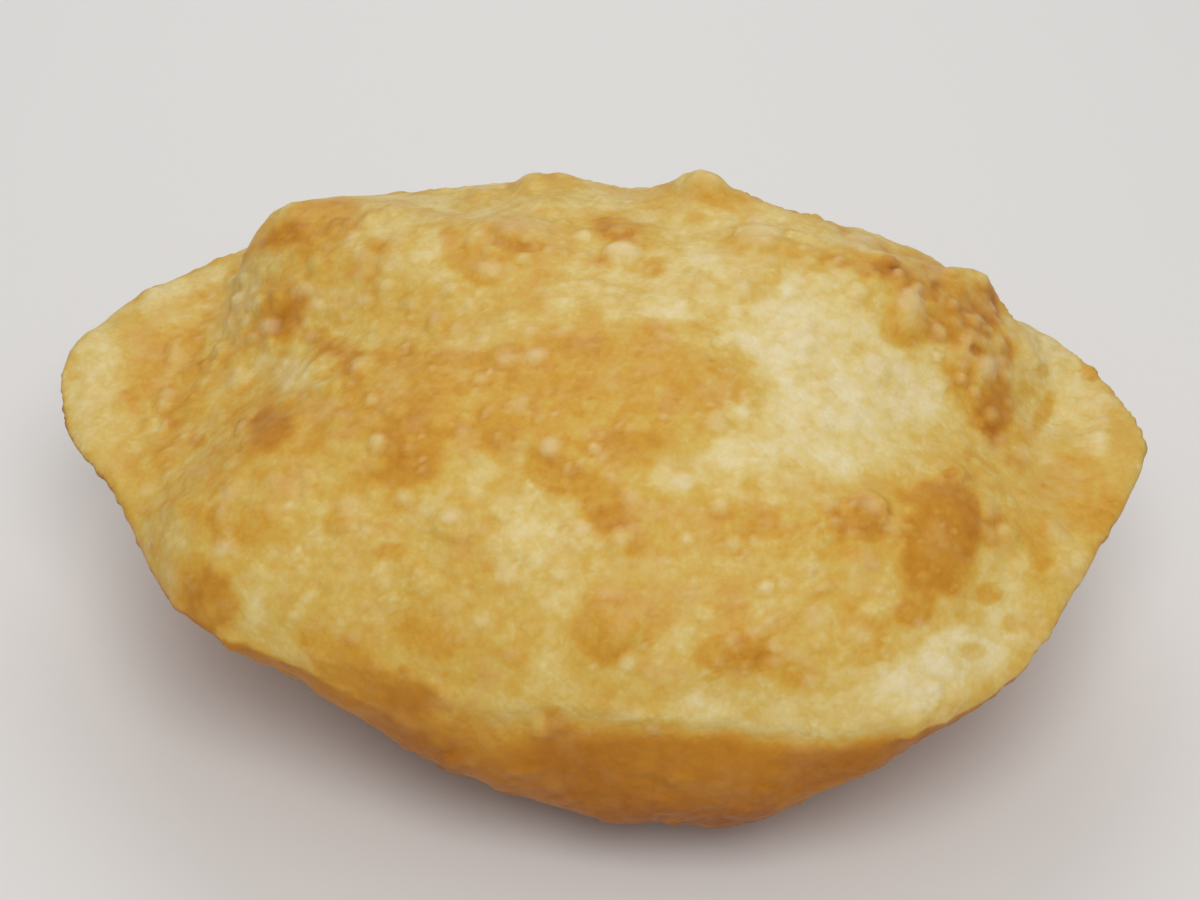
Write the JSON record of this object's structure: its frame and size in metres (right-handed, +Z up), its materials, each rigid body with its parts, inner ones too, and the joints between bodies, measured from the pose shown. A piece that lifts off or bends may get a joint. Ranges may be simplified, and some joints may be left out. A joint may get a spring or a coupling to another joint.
{
  "type": "bhatura",
  "caption": "Puffed leavened flatbread, fried golden: an oval pillow whose two skins meet in a rim seam that widens to a flat flange at each end, with browned blisters.",
  "frame": {"origin": "middle of the bounding box in plan, at the height of the flat spot on the belly that the bread rests on", "axes": "+X along the bread's long axis, from the left flange to the right one as shown; +Y across it, away from the viewer; +Z up, from the belly to the dome"},
  "size_m": [0.226, 0.1542, 0.0864],
  "materials": {
    "fried_crust": "fried dough, golden with amber and brown blisters, slightly oily, satin"
  },
  "bodies": {
    "root": {"bhatura": "fried_crust"}
  },
  "joints": []
}
